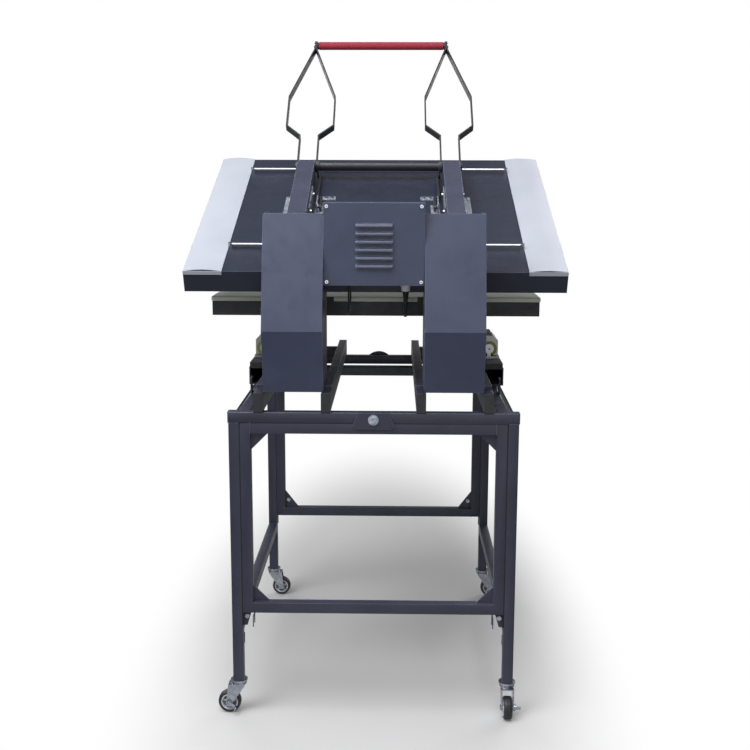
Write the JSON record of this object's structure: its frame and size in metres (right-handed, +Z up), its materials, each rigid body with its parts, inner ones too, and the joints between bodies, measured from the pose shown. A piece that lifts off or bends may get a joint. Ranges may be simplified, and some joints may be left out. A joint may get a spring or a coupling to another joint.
{
  "type": "flat heat press",
  "caption": "Large flat heat press with a tilting heated head, long looped lift handle and sliding lower platen on a wheeled square-tube stand.",
  "frame": {"origin": "on the floor under the middle of the model's box", "axes": "+Z up, +Y from the rear towards the operator, +X to the right as seen from the rear"},
  "size_m": [0.91, 1.1474, 1.672],
  "materials": {
    "navy_paint": "powder-coated, satin navy",
    "black_paint": "powder-coated, satin black",
    "zinc": "galvanised",
    "steel": "machined",
    "chrome": "polished",
    "pale_sheet": "smooth pale grey enamel",
    "aluminium": "milled",
    "pad": "foamed silicone, matt",
    "red_rubber": "foam sleeve, matt",
    "black_rubber": "lead sheath",
    "tyre": "caster tread and hub",
    "black_plastic": "moulded",
    "green_plastic": "moulded seal",
    "grey_plastic": "moulded",
    "board": "circuit board",
    "mica": "heater sheet",
    "wool": "ceramic wool"
  },
  "bodies": {
    "stand": {"side_frame_left": "navy_paint", "side_frame_right": "navy_paint", "rear_frame": "navy_paint", "front_frame": "navy_paint", "stand_bolts": "zinc", "base_frame": "navy_paint", "tie_plates": "navy_paint", "long_rails": "navy_paint", "rail_plugs": "black_plastic", "rail_risers": "black_paint", "slide_rails": "steel", "tower_left": "navy_paint", "tower_right": "navy_paint", "pivot_shafts": "steel", "counterbalance_springs": "zinc", "hood_left": "navy_paint", "hood_right": "navy_paint", "control_tray": "navy_paint", "control_cover": "navy_paint", "cover_screws": "chrome", "cable_fittings": "grey_plastic", "control_board": "board", "caster_stems": "chrome", "heater_lead": "black_rubber", "sensor_lead": "black_rubber"},
    "drawer": {"bearing_blocks": "aluminium", "bearing_seals": "green_plastic", "platen_brackets": "black_paint", "lower_platen": "black_paint", "silicone_pad": "pad", "pad_clips": "black_paint", "drawer_handle": "chrome"},
    "head": {"arm_left": "navy_paint", "arm_right": "navy_paint", "arm_brackets": "zinc", "bracket_bolts": "chrome", "head_cover": "navy_paint", "bottom_pan": "aluminium", "heating_platen": "aluminium", "heater_element": "mica", "insulation": "wool", "guard_left": "pale_sheet", "guard_right": "pale_sheet", "tie_rods": "chrome"},
    "handle": {"cross_shaft": "black_paint", "wishbone_left": "navy_paint", "wishbone_right": "navy_paint", "grip_core": "steel", "grip_sleeve": "red_rubber"},
    "links": {"link_bars": "black_paint"},
    "swivel_rear_left": {"caster_fork_rear_left": "chrome"},
    "wheel_rear_left": {"caster_wheel_rear_left": "tyre"},
    "swivel_rear_right": {"caster_fork_rear_right": "chrome"},
    "wheel_rear_right": {"caster_wheel_rear_right": "tyre"},
    "swivel_front_left": {"caster_fork_front_left": "chrome"},
    "wheel_front_left": {"caster_wheel_front_left": "tyre"},
    "swivel_front_right": {"caster_fork_front_right": "chrome"},
    "wheel_front_right": {"caster_wheel_front_right": "tyre"},
    "brake_left": {"brake_lever_left": "chrome"},
    "brake_right": {"brake_lever_right": "chrome"}
  },
  "joints": [
    {"name": "head_tilt", "type": "hinge", "parent": "stand", "child": "head", "pos_m": [0, -0.38515, 0.98], "axis": [1, 0, 0], "range_deg": [-21.8, 0], "deforming": ["counterbalance_springs", "heater_lead", "sensor_lead"]},
    {"name": "handle_swing", "type": "hinge", "parent": "head", "child": "handle", "pos_m": [0, 0.15524, 1.28768], "axis": [1, 0, 0], "range_deg": [-20, 60]},
    {"name": "link_swing", "type": "hinge", "parent": "handle", "child": "links", "pos_m": [0, 0.15424, 1.2617], "axis": [1, 0, 0], "range_deg": [-60, 20]},
    {"name": "drawer_slide", "type": "slide", "parent": "stand", "child": "drawer", "axis": [0, 1, 0], "range_m": [0, 0.28]},
    {"name": "swivel_turn_rear_left", "type": "hinge", "parent": "stand", "child": "swivel_rear_left", "pos_m": [-0.3175, -0.52265, 0.076], "axis": [0, 0, 1], "continuous": true},
    {"name": "wheel_spin_rear_left", "type": "hinge", "parent": "swivel_rear_left", "child": "wheel_rear_left", "pos_m": [-0.3405, -0.52265, 0.027], "axis": [0, -1, 0], "continuous": true},
    {"name": "swivel_turn_rear_right", "type": "hinge", "parent": "stand", "child": "swivel_rear_right", "pos_m": [0.3175, -0.52265, 0.076], "axis": [0, 0, 1], "continuous": true},
    {"name": "wheel_spin_rear_right", "type": "hinge", "parent": "swivel_rear_right", "child": "wheel_rear_right", "pos_m": [0.3175, -0.54565, 0.027], "axis": [1, 0, 0], "continuous": true},
    {"name": "swivel_turn_front_left", "type": "hinge", "parent": "stand", "child": "swivel_front_left", "pos_m": [-0.3175, 0.24235, 0.076], "axis": [0, 0, 1], "continuous": true},
    {"name": "wheel_spin_front_left", "type": "hinge", "parent": "swivel_front_left", "child": "wheel_front_left", "pos_m": [-0.2945, 0.24235, 0.027], "axis": [0, 1, 0], "continuous": true},
    {"name": "swivel_turn_front_right", "type": "hinge", "parent": "stand", "child": "swivel_front_right", "pos_m": [0.3175, 0.24235, 0.076], "axis": [0, 0, 1], "continuous": true},
    {"name": "wheel_spin_front_right", "type": "hinge", "parent": "swivel_front_right", "child": "wheel_front_right", "pos_m": [0.3405, 0.24235, 0.027], "axis": [0, 1, 0], "continuous": true},
    {"name": "brake_turn_left", "type": "hinge", "parent": "swivel_rear_left", "child": "brake_left", "pos_m": [-0.3405, -0.52265, 0.027], "axis": [0, -1, 0], "range_deg": [0, 30]},
    {"name": "brake_turn_right", "type": "hinge", "parent": "swivel_rear_right", "child": "brake_right", "pos_m": [0.3175, -0.54565, 0.027], "axis": [1, 0, 0], "range_deg": [0, 30]}
  ],
  "couplings": [
    {"joint": "link_swing", "follows": "handle_swing", "ratio": -1}
  ]
}
